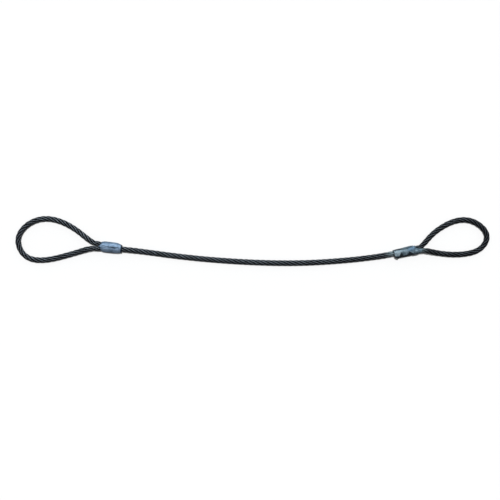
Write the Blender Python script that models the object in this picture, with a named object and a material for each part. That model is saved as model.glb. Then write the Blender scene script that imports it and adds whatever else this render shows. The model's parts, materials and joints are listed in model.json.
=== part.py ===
"""Wire rope sling: one length of 12 mm wire rope with a soft eye at each end.

The sling lies flat on the plane z = 0, with +X along it, +Z up and its origin under the middle of
its bounding box. The rope is six strands laid right-hand around a core. Each end is turned back
into an eye and pressed in an aluminium ferrule, and the right ferrule is wrapped in silver tape.
The rope bends, so it is built as five segments with a joint between each pair, and each eye folds
at its ferrule. All lengths are in metres.
"""
import math

import bpy
import numpy as np
from mathutils import Vector

MM = 0.001

# Rope
ROPE_RADIUS = 6.0 * MM
LAY_LENGTH = 12.0 * ROPE_RADIUS
STRAND_COUNT = 6
STRAND_HELIX_RADIUS = 0.70 * ROPE_RADIUS
STRAND_RADIUS = 0.30 * ROPE_RADIUS
CORE_RADIUS = 0.28 * ROPE_RADIUS
LAY_ANGLE = math.atan(2.0 * math.pi * STRAND_HELIX_RADIUS / LAY_LENGTH)
STRAND_SIDES = 6
RINGS_PER_LAY = 8
CORE_STEPS_PER_SEGMENT = 4
SHARP_ANGLE = math.radians(50.0)

# Joints
SEGMENT_COUNT = 5
JOINT_GAP = 2.5 * MM
CORE_JOINT_GAP = 1.0 * MM

# Ferrules: u runs from the eye end to the tail, v sideways, towards the dead end
FERRULE_SIDES = 16
LEFT_FERRULE_RADIUS = 11.25 * MM
RIGHT_FERRULE_RADIUS = 10.0 * MM
LEFT_FERRULE_LENGTH = 50.0 * MM
RIGHT_FERRULE_LENGTH = 50.0 * MM
LEFT_TAPER_LENGTH = 18.0 * MM
LEFT_TAIL_RADIUS = 7.9 * MM
LEFT_TAIL_OFFSET = -1.3 * MM
RIGHT_TAPER_LENGTH = 7.0 * MM
RIGHT_TAIL_RADIUS = 9.0 * MM
RIGHT_TAIL_OFFSET = -0.6 * MM
TAPER_MID_SHARE = 0.55
TAPER_MID_DROP = 0.28
TAPER_MID_OFFSET = 0.3
MOUTH_CHAMFER = 1.2 * MM
STUB_LENGTH = 3.4 * MM
HINGE_DISTANCE = STUB_LENGTH + JOINT_GAP
BORE_CLEARANCE = 0.3 * MM

# Rope pressed in a ferrule
PINCH = 0.87
PINCH_LENGTH = 22.0 * MM
LEG_OFFSET = 5.45 * MM
LEG_RADIUS = PINCH * ROPE_RADIUS - 0.02 * MM
RIGHT_LEG_ROLL = math.radians(50.0)
RIGHT_LEG_SHIFT = 1.0 * MM
RIGHT_STANDING_EXIT = math.radians(20.0)
PRESSED_OFFSET = 4.3 * MM
PRESSED_HALF_WIDTH = 3.95 * MM
PRESSED_HALF_HEIGHT = 5.4 * MM
PRESS_LENGTH = 9.0 * MM
TAIL_ROPE_OFFSET = -1.5 * MM
TAIL_ROPE_RADIUS = 5.85 * MM
DEAD_END_SETBACK = 19.0 * MM
PRESSED_SIDES = 12

# Silver tape around the right ferrule
TAPE_THICKNESS = 0.6 * MM
TAPE_GAP = 0.3 * MM
TAPE_START = 4.0 * MM
TAPE_LENGTH = 44.0 * MM

# Plan of the sling: ferrule mouths, headings from mouth to tail, and points on the centre line
ORIGIN_SHIFT = Vector((-1.5058, -0.2318)) * MM
LEFT_MOUTH = Vector((-329.5, -11.0)) * MM
LEFT_HEADING = math.radians(-5.8)
RIGHT_MOUTH = Vector((356.0, -17.9)) * MM
RIGHT_HEADING = math.radians(180.0 + 11.8)
ROPE_PLAN = [(-194.0, -28.3), (-112.0, -37.8), (-8.6, -45.2), (95.0, -47.3), (199.0, -41.7)]
LEFT_EYE_PLAN = [
    (-348.0, 0.6), (-372.0, 18.6), (-405.2, 38.9), (-447.0, 48.1), (-484.5, 35.0),
    (-504.6, 3.7), (-489.2, -31.8), (-447.0, -40.6), (-404.6, -32.0), (-372.0, -22.6),
]
RIGHT_EYE_PLAN = [
    (383.6, 8.0), (414.1, 32.2), (449.5, 45.4), (481.5, 40.4), (507.4, 8.0),
    (498.1, -12.1), (463.1, -27.2), (421.8, -28.3), (388.6, -23.3),
]
SETTLE_LENGTH = 50.0 * MM
CURVE_STEP = 1.0 * MM


def smoothstep(value):
    """Ease from 0 to 1 as value goes from 0 to 1."""
    value = min(1.0, max(0.0, value))
    return value * value * (3.0 - 2.0 * value)


class CentreLine:
    """A smooth curve through plan points, measured by its arc length."""

    def __init__(self, points, start_direction, end_direction, height, start_length):
        plan = self.spline([np.array(p[:2]) for p in points], start_direction, end_direction)
        steps = np.linalg.norm(np.diff(plan, axis=0), axis=1)
        self.lengths = np.concatenate(([0.0], np.cumsum(steps)))
        self.length = self.lengths[-1]
        self.start_length = start_length
        self.places = np.array([
            (x, y, height(s, self.length)) for (x, y), s in zip(plan, self.lengths)
        ])

    @staticmethod
    def spline(points, start_direction, end_direction):
        """Points along the clamped cubic spline through the given plan points."""
        points = np.array(points)
        spans = np.linalg.norm(np.diff(points, axis=0), axis=1)
        chords = np.diff(points, axis=0) / spans[:, None]
        count = len(points)
        matrix = np.eye(count)
        sides = np.zeros((count, 2))
        sides[0] = start_direction
        sides[-1] = end_direction
        for i in range(1, count - 1):
            before, after = spans[i - 1], spans[i]
            matrix[i, i - 1:i + 2] = (after, 2.0 * (before + after), before)
            sides[i] = 3.0 * (after * chords[i - 1] + before * chords[i])
        slopes = np.linalg.solve(matrix, sides)
        curve = [points[0]]
        for i, span in enumerate(spans):
            pieces = max(2, round(span / CURVE_STEP))
            for k in range(1, pieces + 1):
                t = k / pieces
                curve.append(
                    (2 * t**3 - 3 * t**2 + 1) * points[i] + (t**3 - 2 * t**2 + t) * span * slopes[i]
                    + (3 * t**2 - 2 * t**3) * points[i + 1] + (t**3 - t**2) * span * slopes[i + 1]
                )
        return np.array(curve)

    def place(self, s):
        """The point of the centre line at arc length s, which may run a little past an end."""
        inside = min(self.length, max(0.0, s))
        point = Vector([np.interp(inside, self.lengths, self.places[:, k]) for k in range(3)])
        if inside != s:
            point += (s - inside) * self.frame(inside)[0]
        return point

    def frame(self, s):
        """Unit vectors along the rope, to its left and upwards, at arc length s."""
        low = min(self.length - 2 * CURVE_STEP, max(0.0, s - CURVE_STEP))
        along = (self.place(low + 2 * CURVE_STEP) - self.place(low)).normalized()
        left = Vector((0.0, 0.0, 1.0)).cross(along).normalized()
        return along, left, along.cross(left)


def lowered_height(start_height, end_height):
    """Height of a rope that leaves raised ends and settles onto the ground between them."""
    def height(s, length):
        from_start = 1.0 - smoothstep(s / SETTLE_LENGTH)
        from_end = 1.0 - smoothstep((length - s) / SETTLE_LENGTH)
        rise = (start_height - ROPE_RADIUS) * from_start + (end_height - ROPE_RADIUS) * from_end
        return ROPE_RADIUS + rise
    return height


def full_size(s, length):
    """The main rope keeps its full size."""
    return 1.0


def pinched_at_ends(s, length):
    """An eye's rope is pinched together where it meets its ferrule."""
    nearest = min(s, length - s)
    return PINCH + (1.0 - PINCH) * smoothstep(nearest / PINCH_LENGTH)


def make_material(name, colour, roughness, metallic):
    material = bpy.data.materials.new(name)
    material.use_nodes = True
    shader = material.node_tree.nodes["Principled BSDF"]
    shader.inputs["Base Color"].default_value = (*colour, 1.0)
    shader.inputs["Roughness"].default_value = roughness
    shader.inputs["Metallic"].default_value = metallic
    return material


class Body:
    """A rigid group of pieces, hung from an empty at its joint."""

    def __init__(self, name, pivot, parent=None):
        self.pivot = pivot
        self.handle = bpy.data.objects.new(name, None)
        bpy.context.collection.objects.link(self.handle)
        self.handle.location = pivot
        if parent:
            self.handle.parent = parent.handle
            self.handle.location = pivot - parent.pivot

    def add(self, name, mesh, material, place=None, turn=0.0):
        """Add a mesh to the body, at a place and a turn about +Z in the sling's frame."""
        piece = bpy.data.objects.new(name, mesh)
        bpy.context.collection.objects.link(piece)
        piece.parent = self.handle
        piece.location = (place or Vector((0.0, 0.0, 0.0))) - self.pivot
        piece.rotation_euler = (0.0, 0.0, turn)
        mesh.materials.append(material)
        mesh.shade_smooth()
        mesh.set_sharp_from_angle(angle=SHARP_ANGLE)
        return piece


def lofted_mesh(name, rings):
    """A closed solid through rings of points, each ring turning right-handed about its way on."""
    sides = len(rings[0])
    points = [point for ring in rings for point in ring]
    faces = [tuple(reversed(range(sides)))]
    for r in range(len(rings) - 1):
        for k in range(sides):
            here = r * sides
            after = (k + 1) % sides
            faces.append((here + k, here + after, here + sides + after, here + sides + k))
    faces.append(tuple(range((len(rings) - 1) * sides, len(rings) * sides)))
    mesh = bpy.data.meshes.new(name)
    mesh.from_pydata([tuple(point) for point in points], [], faces)
    mesh.update()
    return mesh


def strand_rings(line, start, end, strand, size):
    """Rings of one strand between two arc lengths, drawn in the rope's own cross-sections."""
    steps = math.ceil((end - start) / LAY_LENGTH * RINGS_PER_LAY)
    rings = []
    for i in range(steps + 1):
        s = start + (end - start) * i / steps
        _, left, up = line.frame(s)
        turn = 2.0 * math.pi * ((line.start_length + s) / LAY_LENGTH + strand / STRAND_COUNT)
        outward = left * math.cos(turn) + up * math.sin(turn)
        sideways = up * math.cos(turn) - left * math.sin(turn)
        scale = size(s, line.length)
        centre = line.place(s) + outward * STRAND_HELIX_RADIUS * scale
        ring = []
        for k in range(STRAND_SIDES):
            angle = 2.0 * math.pi * k / STRAND_SIDES
            across = sideways * math.sin(angle) / math.cos(LAY_ANGLE)
            ring.append(centre + (outward * math.cos(angle) + across) * STRAND_RADIUS * scale)
        rings.append(ring)
    return rings


def core_rings(line, start, end, size, step):
    """Rings of the rope's core between two arc lengths."""
    steps = math.ceil((end - start) / step)
    rings = []
    for i in range(steps + 1):
        s = start + (end - start) * i / steps
        _, left, up = line.frame(s)
        radius = CORE_RADIUS * size(s, line.length)
        rings.append([
            line.place(s) + (left * math.cos(a) + up * math.sin(a)) * radius
            for a in (2.0 * math.pi * k / STRAND_SIDES for k in range(STRAND_SIDES))
        ])
    return rings


def add_rope(body, prefix, line, start, end, size, core_step, materials):
    """Six strands and a core along one stretch of the centre line."""
    for strand in range(STRAND_COUNT):
        name = f"{prefix}_strand_{strand + 1}"
        rings = strand_rings(line, start + JOINT_GAP, end - JOINT_GAP, strand, size)
        body.add(name, lofted_mesh(name, rings), materials["strand"])
    name = f"{prefix}_core"
    rings = core_rings(line, start + CORE_JOINT_GAP, end - CORE_JOINT_GAP, size, core_step)
    body.add(name, lofted_mesh(name, rings), materials["core"])


def cut_bore(piece, body, name, mesh):
    """Cut a piece with a hidden solid that has the same place and turn."""
    cutter = bpy.data.objects.new(name, mesh)
    bpy.context.collection.objects.link(cutter)
    cutter.parent = body.handle
    cutter.location = piece.location
    cutter.rotation_euler = piece.rotation_euler
    cutter.hide_render = True
    cutter.display_type = "WIRE"
    cut = piece.modifiers.new(name, "BOOLEAN")
    cut.operation = "DIFFERENCE"
    cut.solver = "EXACT"
    cut.object = cutter


def axial_mesh(name, stations, sides, grow=0.0, roll=0.0):
    """A solid along +X through ovals: (x, centre y, centre z, half width, half height)."""
    facet = 1.0 / math.cos(math.pi / sides)
    rings = []
    for x, centre_y, centre_z, half_width, half_height in stations:
        ring = []
        for k in range(sides):
            angle = 2.0 * math.pi * (k + 0.5) / sides
            wide = (half_width + grow) * facet * math.cos(angle)
            high = (half_height + grow) * facet * math.sin(angle)
            y = centre_y + wide * math.cos(roll) - high * math.sin(roll)
            z = centre_z + wide * math.sin(roll) + high * math.cos(roll)
            ring.append(Vector((x, y, z)))
        rings.append(ring)
    return lofted_mesh(name, rings)


class Splice:
    """A ferrule with the standing part and the dead end of the rope pressed inside it."""

    def __init__(self, side, mouth, heading, height, radius, length, taper_length, tail_radius,
                 tail_offset, leg_roll, leg_shift):
        self.side = side
        self.mouth = mouth + ORIGIN_SHIFT
        self.heading = heading
        self.height = height
        self.radius = radius
        self.length = length
        self.taper_length = taper_length
        self.tail_radius = tail_radius
        self.tail_offset = tail_offset
        self.leg_roll = leg_roll
        self.leg_shift = leg_shift

    def place(self, u, v):
        """The plan point at u along and v across the ferrule, at the height of its axis."""
        along = Vector((math.cos(self.heading), math.sin(self.heading)))
        across = Vector((-along.y, along.x))
        plan = self.mouth + along * u + across * v
        return Vector((plan.x, plan.y, self.height))

    def direction(self, turn=0.0):
        """Unit plan vector from the mouth to the tail, turned left by an angle."""
        return np.array((math.cos(self.heading + turn), math.sin(self.heading + turn)))

    def leg_centre(self, leg, offset):
        """v and height over the axis of a leg: 1 is the dead end's, -1 the standing part's."""
        return leg * offset * math.cos(self.leg_roll), leg * offset * math.sin(self.leg_roll)

    def mouth_centre(self, leg):
        """v and height over the axis of a leg where it enters the mouth."""
        v, z = self.leg_centre(leg, LEG_OFFSET)
        return v + self.leg_shift, z

    def leg_place(self, leg):
        """Where a leg's centre line starts, at the hinge before the mouth."""
        v, z = self.mouth_centre(leg)
        place = self.place(-HINGE_DISTANCE, v)
        place.z += z
        return place

    def shell_stations(self, extra=0.0):
        """Sections of the ferrule's outside, from its mouth to its tapered tail."""
        radius = self.radius + extra
        taper_start = self.length - self.taper_length
        mid = taper_start + TAPER_MID_SHARE * self.taper_length
        mid_radius = radius - TAPER_MID_DROP * (self.radius - self.tail_radius)
        return [
            (0.0, 0.0, 0.0, radius - MOUTH_CHAMFER, radius - MOUTH_CHAMFER),
            (MOUTH_CHAMFER, 0.0, 0.0, radius, radius),
            (taper_start, 0.0, 0.0, radius, radius),
            (mid, TAPER_MID_OFFSET * self.tail_offset, 0.0, mid_radius, mid_radius),
            (self.length, self.tail_offset, 0.0, *[self.tail_radius + extra] * 2),
        ]

    def leg_stations(self, leg, overrun):
        """Sections of a rope end from its stub at the mouth to where it is fully pressed."""
        mouth = self.mouth_centre(leg)
        pressed = self.leg_centre(leg, PRESSED_OFFSET)
        return [
            (-STUB_LENGTH - overrun, *mouth, LEG_RADIUS, LEG_RADIUS),
            (0.0, *mouth, LEG_RADIUS, LEG_RADIUS),
            (PRESS_LENGTH, *pressed, PRESSED_HALF_WIDTH, PRESSED_HALF_HEIGHT),
        ]

    def standing_stations(self, overrun=0.0):
        """Sections of the standing part: from its stub at the mouth to its stub at the tail."""
        pressed = self.leg_centre(-1, PRESSED_OFFSET)
        tail = (TAIL_ROPE_OFFSET, 0.0, TAIL_ROPE_RADIUS, TAIL_ROPE_RADIUS)
        tail_press = self.length - PRESS_LENGTH
        return [
            *self.leg_stations(-1, overrun),
            (tail_press - PRESS_LENGTH, *pressed, PRESSED_HALF_WIDTH, PRESSED_HALF_HEIGHT),
            (tail_press, *tail),
            (self.length + STUB_LENGTH + overrun, *tail),
        ]

    def dead_end_stations(self, overrun=0.0):
        """Sections of the dead end: from its stub at the mouth to its cut end in the ferrule."""
        pressed = self.leg_centre(1, PRESSED_OFFSET)
        cut_end = self.length - DEAD_END_SETBACK + overrun
        return [
            *self.leg_stations(1, overrun),
            (cut_end, *pressed, PRESSED_HALF_WIDTH, PRESSED_HALF_HEIGHT),
        ]

    def build(self, body, materials):
        """Make the ferrule, bored for the two rope ends, and the two ends inside it."""
        sections = {
            "standing_part": self.standing_stations(),
            "dead_end": self.dead_end_stations(),
        }
        cutters = {
            "standing_bore": self.standing_stations(overrun=BORE_CLEARANCE),
            "dead_end_bore": self.dead_end_stations(overrun=BORE_CLEARANCE),
        }
        name = f"{self.side}_ferrule"
        mesh = axial_mesh(name, self.shell_stations(), FERRULE_SIDES)
        ferrule = body.add(name, mesh, materials["ferrule"], self.place(0.0, 0.0), self.heading)
        for label, stations in cutters.items():
            name = f"{self.side}_{label}"
            mesh = axial_mesh(name, stations, PRESSED_SIDES, BORE_CLEARANCE, self.leg_roll)
            cut_bore(ferrule, body, name, mesh)
        for label, stations in sections.items():
            name = f"{self.side}_{label}"
            mesh = axial_mesh(name, stations, PRESSED_SIDES, 0.0, self.leg_roll)
            body.add(name, mesh, materials["pressed"], self.place(0.0, 0.0), self.heading)

    def build_tape(self, body, materials):
        """Wrap a thin sleeve of tape around the ferrule."""
        def stations(extra, overrun):
            shell = self.shell_stations(extra)
            places = [s[0] for s in shell]
            inner = [u for u in places if TAPE_START < u < TAPE_START + TAPE_LENGTH]
            ends = [TAPE_START - overrun, *inner, TAPE_START + TAPE_LENGTH + overrun]
            return [
                (u, *(float(np.interp(u, places, [s[k] for s in shell])) for k in (1, 2, 3, 4)))
                for u in ends
            ]
        name = f"{self.side}_tape_wrap"
        outside = stations(TAPE_GAP + TAPE_THICKNESS, 0.0)
        mesh = axial_mesh(name, outside, FERRULE_SIDES)
        tape = body.add(name, mesh, materials["tape"], self.place(0.0, 0.0), self.heading)
        name = f"{self.side}_tape_bore"
        inside = stations(TAPE_GAP, BORE_CLEARANCE)
        cut_bore(tape, body, name, axial_mesh(name, inside, FERRULE_SIDES))


def plan_points(points):
    """Plan points in metres, in the sling's frame."""
    return [Vector(point) * MM + ORIGIN_SHIFT for point in points]


def eye_line(splice, first_leg, plan, exit_turn, start_length):
    """Centre line of an eye, from one leg at its ferrule's mouth around to the other."""
    first = splice.leg_place(first_leg)
    last = splice.leg_place(-first_leg)
    points = [first, *plan_points(plan), last]
    height = lowered_height(first.z, last.z)
    exit_direction = -splice.direction(exit_turn)
    return CentreLine(points, exit_direction, splice.direction(), height, start_length)


def rope_line(left, right):
    """Centre line of the rope between the tails of the two ferrules."""
    first = left.place(left.length + HINGE_DISTANCE, TAIL_ROPE_OFFSET)
    last = right.place(right.length + HINGE_DISTANCE, TAIL_ROPE_OFFSET)
    points = [first, *plan_points(ROPE_PLAN), last]
    height = lowered_height(left.height, right.height)
    return CentreLine(points, left.direction(), -right.direction(), height, 0.0)


def build_sling():
    materials = {
        "strand": make_material("rope_strand", (0.045, 0.048, 0.055), 0.42, 0.85),
        "core": make_material("rope_core", (0.035, 0.033, 0.032), 0.60, 0.60),
        "pressed": make_material("pressed_rope", (0.040, 0.042, 0.046), 0.50, 0.80),
        "ferrule": make_material("ferrule_aluminium", (0.52, 0.60, 0.68), 0.38, 0.90),
        "tape": make_material("silver_tape", (0.46, 0.54, 0.60), 0.45, 0.75),
    }
    left = Splice(
        "left", LEFT_MOUTH, LEFT_HEADING, LEFT_FERRULE_RADIUS, LEFT_FERRULE_RADIUS,
        LEFT_FERRULE_LENGTH, LEFT_TAPER_LENGTH, LEFT_TAIL_RADIUS, LEFT_TAIL_OFFSET, 0.0, 0.0,
    )
    right = Splice(
        "right", RIGHT_MOUTH, RIGHT_HEADING, RIGHT_FERRULE_RADIUS + TAPE_GAP + TAPE_THICKNESS,
        RIGHT_FERRULE_RADIUS, RIGHT_FERRULE_LENGTH, RIGHT_TAPER_LENGTH, RIGHT_TAIL_RADIUS,
        RIGHT_TAIL_OFFSET, RIGHT_LEG_ROLL, RIGHT_LEG_SHIFT,
    )
    rope = rope_line(left, right)
    left_span = left.length + 2.0 * HINGE_DISTANCE
    right_span = right.length + 2.0 * HINGE_DISTANCE
    left_eye = eye_line(left, 1, LEFT_EYE_PLAN, 0.0, 0.0)
    left_eye.start_length = -left_span - left_eye.length
    right_start = rope.length + right_span
    right_eye = eye_line(right, -1, RIGHT_EYE_PLAN, RIGHT_STANDING_EXIT, right_start)

    middle = SEGMENT_COUNT // 2
    pitch = rope.length / SEGMENT_COUNT
    bodies = {middle: Body(f"rope_{middle + 1}_body", rope.place((middle + 0.5) * pitch))}
    for i in reversed(range(middle)):
        bodies[i] = Body(f"rope_{i + 1}_body", rope.place((i + 1) * pitch), bodies[i + 1])
    for i in range(middle + 1, SEGMENT_COUNT):
        bodies[i] = Body(f"rope_{i + 1}_body", rope.place(i * pitch), bodies[i - 1])
    left_splice = Body("left_splice_body", rope.place(0.0), bodies[0])
    right_splice = Body("right_splice_body", rope.place(rope.length), bodies[SEGMENT_COUNT - 1])
    left_eye_body = Body("left_eye_body", left.place(-HINGE_DISTANCE, 0.0), left_splice)
    right_eye_body = Body("right_eye_body", right.place(-HINGE_DISTANCE, 0.0), right_splice)

    step = pitch / CORE_STEPS_PER_SEGMENT
    for i in range(SEGMENT_COUNT):
        start, end = i * pitch, (i + 1) * pitch
        add_rope(bodies[i], f"rope_{i + 1}", rope, start, end, full_size, step, materials)
    for name, body, line in (
        ("left_eye", left_eye_body, left_eye),
        ("right_eye", right_eye_body, right_eye),
    ):
        step = LAY_LENGTH / RINGS_PER_LAY
        add_rope(body, name, line, 0.0, line.length, pinched_at_ends, step, materials)
    left.build(left_splice, materials)
    right.build(right_splice, materials)
    right.build_tape(right_splice, materials)


for old in list(bpy.data.objects):
    bpy.data.objects.remove(old, do_unlink=True)
build_sling()
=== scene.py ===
"""Looks of the wire rope sling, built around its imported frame.

Every strand is drawn with its outer wires, each ferrule with its pressed mouth and its flash lines,
and the right ferrule with its torn silver tape. Places and sizes come from the frame's joints and
nodes. Lengths are in metres.
"""
import json
import math

import bpy
import numpy as np
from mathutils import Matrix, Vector, noise


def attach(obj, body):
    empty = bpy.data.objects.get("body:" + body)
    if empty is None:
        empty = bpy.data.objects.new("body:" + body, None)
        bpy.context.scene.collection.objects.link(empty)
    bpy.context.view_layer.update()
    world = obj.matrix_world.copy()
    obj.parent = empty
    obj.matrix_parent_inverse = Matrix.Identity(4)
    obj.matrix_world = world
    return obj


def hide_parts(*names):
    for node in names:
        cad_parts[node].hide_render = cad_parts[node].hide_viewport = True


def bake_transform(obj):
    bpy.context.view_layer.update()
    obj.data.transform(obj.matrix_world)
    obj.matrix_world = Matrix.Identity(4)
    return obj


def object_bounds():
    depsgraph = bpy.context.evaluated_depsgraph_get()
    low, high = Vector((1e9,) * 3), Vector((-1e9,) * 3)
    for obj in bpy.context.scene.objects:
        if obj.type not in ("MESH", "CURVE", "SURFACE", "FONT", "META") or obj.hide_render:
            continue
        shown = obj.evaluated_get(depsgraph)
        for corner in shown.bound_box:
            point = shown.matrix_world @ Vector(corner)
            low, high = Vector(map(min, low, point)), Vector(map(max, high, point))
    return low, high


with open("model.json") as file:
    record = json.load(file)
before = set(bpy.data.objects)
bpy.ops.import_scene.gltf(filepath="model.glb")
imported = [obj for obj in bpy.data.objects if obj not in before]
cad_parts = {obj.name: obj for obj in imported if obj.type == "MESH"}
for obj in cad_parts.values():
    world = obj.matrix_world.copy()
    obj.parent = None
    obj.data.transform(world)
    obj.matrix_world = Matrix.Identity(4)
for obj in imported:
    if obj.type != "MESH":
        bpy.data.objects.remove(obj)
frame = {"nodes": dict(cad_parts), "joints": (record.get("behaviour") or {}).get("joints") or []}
cad_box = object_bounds()

MM = 0.001
UP = np.array((0.0, 0.0, 1.0))
JOINTS = {joint["name"]: joint for joint in frame["joints"]}

# Rope
ROPE_RADIUS = JOINTS["bend_2_3"]["pos_m"][2]
LAY_LENGTH = 12.0 * ROPE_RADIUS
STRAND_COUNT = 6
STRAND_HELIX_RADIUS = 0.69 * ROPE_RADIUS
STRAND_RADIUS = ROPE_RADIUS - STRAND_HELIX_RADIUS
LAY_ANGLE = math.atan(2.0 * math.pi * STRAND_HELIX_RADIUS / LAY_LENGTH)
WIRES = 12
WIRE_PROFILE = np.array((0.0, 0.07, 0.40, 0.07)) * MM
POINTS_PER_WIRE = len(WIRE_PROFILE)
WIRE_TURN_LENGTH = 20.0 * MM
RING_STEP = 1.8 * MM
CORE_RADIUS = 0.34 * ROPE_RADIUS
CORE_STEP = 4.0 * MM
CORE_POINTS = 18
CORE_LOBES = 6
CORE_LOBE_SHARE = 0.08
CROWN_START = 0.55
VALLEY_SHADE = 0.5
GREASE_START = 0.35
SPRAY_TAIL_LENGTH = 26.0 * MM
SPRAY_LEG_LENGTH = 26.0 * MM
SPRAY_LEG_SHARE = 0.8

# Reading the frame
RING_REACH = 0.62 * ROPE_RADIUS
END_DEPTH = 0.5 * MM

# Rope in and near a ferrule
PINCH = 0.87
PINCH_LENGTH = 22.0 * MM
SQUEEZE_LENGTH = 18.0 * MM
TAIL_SQUEEZE = 0.975
INSERT_DEPTH = 6.0 * MM
PRESSED_OFFSET = 4.3 * MM
PRESSED_HALF_WIDTH = 3.9 * MM
PRESSED_HALF_HEIGHT = 4.6 * MM
PRESS_LENGTH = 9.0 * MM
PRESSED_LOBES = 0.05
PRESSED_RINGS = 16
PIECE_GAP = 0.3 * MM
DEAD_END_SETBACK = 19.0 * MM
INSERTED_SHARE = 0.84
INSERTED_PINCH = 0.78
PRESSED_LEG_SHARE = 0.96
PRESSED_TAIL_SHARE = 0.93

# Ferrules
SHELL_SIDES = 160
SHELL_RINGS = 90
BORE_RINGS = 16
BORE_EASE_START = 0.25
BORE_EASE_LENGTH = 0.5
LEFT_TAPER = 18.0 * MM
RIGHT_TAPER = 7.0 * MM
LIP_SETBACK = 5.6 * MM
TONGUE_REACH = 1.6 * MM
TONGUE_BLUNTNESS = 0.08
LIP_THICKNESS = 0.6 * MM
MOUTH_WALL = 0.1 * MM
BORE_WALL = 0.4 * MM
FAR_LIP_SETBACK = 3.0 * MM
MOUTH_ROUNDING = 7.0 * MM
MOUTH_POWER = 2.2
TAPER_POWER = 2.1
TAIL_ROUNDING = 0.9 * MM
BORE_GAP = 0.15 * MM
VALLEY_FILL = 3.6 * MM
VALLEY_END = 0.5
FAR_SINK = 1.5 * MM
FLASH_HEIGHT = 0.3 * MM
FLASH_WIDTH = 0.8 * MM
DENT_DEPTH = 0.45 * MM
DENT_SCALE = 110.0
DENT_SPREAD = 0.15
FINE_DENT_DEPTH = 0.12 * MM
FINE_DENT_SCALE = 420.0
EDGE_DENT_SHARE = 0.15
# Dark ring at the tail end: painted shade of the end face, which is dirty too.
TAIL_DARKENING_EDGE = 1.2 * MM
TAIL_DARKENING_WIDTH = 3.2 * MM
# Darker near the mouth edge, where the legs enter.
MOUTH_DARKENING_WIDTH = 2.0 * MM
MOUTH_DARKENING = 0.55
DENT_DIRT = 0.5
DENT_DIRT_START = 0.45
CREASE_DIRT = 2.4
LINE_FADE = 3.0
CREASE_DEPTH = 0.55 * MM
CREASE_WANDER = 0.35 * MM
CREASE_WANDER_SCALE = 330.0

# Crease pressed along the top of the left ferrule: u, v, half width (in mm), share of full depth
PRESS_CREASE = np.array([
    (5.0, 2.7, 0.4, 0.3), (12.0, 1.7, 0.5, 0.5), (18.0, 0.7, 0.5, 0.45), (25.5, 0.1, 0.7, 0.7),
    (31.0, -0.4, 1.1, 1.0), (35.0, -0.8, 1.1, 1.0), (39.0, 0.3, 0.8, 0.7), (44.0, 2.4, 0.6, 0.2),
])

# Silver tape on the right ferrule: TORN_EDGE holds (u, v) along its torn edge
TAPE_RINGS = 150
TAPE_SIDES = 120
TAPE_START = 0.6 * MM
TAPE_FLAP = 12.0 * MM
TAPE_FLAP_V = 4.0 * MM
TAPE_FLAP_WIDTH = 6.0 * MM
TAPE_FAR_SETBACK = 2.5 * MM
TAPE_FAR_START = 3.0 * MM
TAPE_FAR_WIDTH = 5.0 * MM
TAPE_END_WAVES = [(0.4 * MM, 9.0), (0.2 * MM, 23.0)]
TAPE_END = 51.2 * MM
TAPE_GAP = 0.1 * MM
TAPE_THICKNESS = 0.25 * MM
TAPE_STEP_SETBACK = 1.5 * MM
TAPE_STEP_LENGTH = 2.0 * MM
CRUMPLE_HEIGHT = 0.9 * MM
WRINKLE_SHARE = 0.25
FACET_SHARE = 0.35
SWELL_SHARE = 0.35
FOLD_SHARE = 0.8
UNDERSIDE_SHARE = 0.9
WRINKLE_SCALE = 150.0
WRINKLE_STRETCH = np.array((0.6, 1.4, 1.0))
WRINKLE_NARROWNESS = 2.6
FACET_SCALE = 90.0
SWELL_SCALE = 45.0
FOLD_WANDER_SCALE = 200.0
RIDGE_BLUNTNESS = 0.06
TORN_EDGE = np.array([
    (-10.0, 3.5), (-5.0, 8.1), (0.6, 8.8), (9.0, 8.4), (12.5, 5.5), (18.2, 1.1), (20.5, 3.5),
    (23.0, 6.2), (31.3, 7.8), (33.2, 5.5), (34.6, -0.8), (38.6, 2.3), (42.3, 7.0), (44.6, 10.6),
    (46.5, 8.8), (51.2, 4.5),
]) * MM
TEAR_DEPTH = 0.25 * MM
TEAR_LENGTH = 0.7 * MM
TAPE_EDGE_LIFT = 0.4 * MM
TORN_DIRT = 0.6
TORN_DIRT_WIDTH = 1.0 * MM
# Painted shade on the tape's lower side, towards the dead end.
LOWER_SIDE_SHADE = 0.7
LOWER_SIDE_SHADE_START = 2.5 * MM
LOWER_SIDE_SHADE_WIDTH = 5.0 * MM
TAPE_TAIL_DIRT = 0.8
TAPE_TAIL_DIRT_WIDTH = 1.4 * MM
TAPE_UNDER_EDGE = math.radians(305.0)
UNDER_EDGE_WAVE = 0.18
UNDER_EDGE_LENGTH = 4.1 * MM
FAR_DIRT_U = 36.0 * MM
FAR_DIRT_LENGTH = 3.0 * MM
FAR_DIRT_V = -8.2 * MM
BLUE_U = 11.0 * MM
BLUE_LENGTH = 9.0 * MM
BLUE_V = -4.0 * MM
BLUE_WIDTH = 4.5 * MM
PALE_START = 30.0 * MM
PALE_LENGTH = 10.0 * MM
PALE_SHARE = 0.7
PALE_WRINKLES = 0.5
PALE_RISE = 0.2
SHADE_START = 5.0 * MM
SHADE_LENGTH = 8.0 * MM
SHADE_SHARE = 0.6
TAG_U = 44.6 * MM
TAG_WIDTH = 2.6 * MM
TAG_DROP = 0.20
TAG_FLARE = 0.9 * MM
TAG_SHARE = 0.12

# Fold that runs along the tape's far side: u, v, half width (in mm), darkness
TAPE_FOLD = np.array([
    (8.0, -9.0, 1.0, 0.3), (14.0, -8.0, 1.2, 0.7), (19.4, -6.9, 1.0, 0.7), (25.5, -6.0, 0.9, 0.8),
    (34.0, -7.1, 1.0, 1.0), (41.0, -8.3, 1.5, 1.0), (51.0, -7.6, 1.6, 0.8),
])
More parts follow.
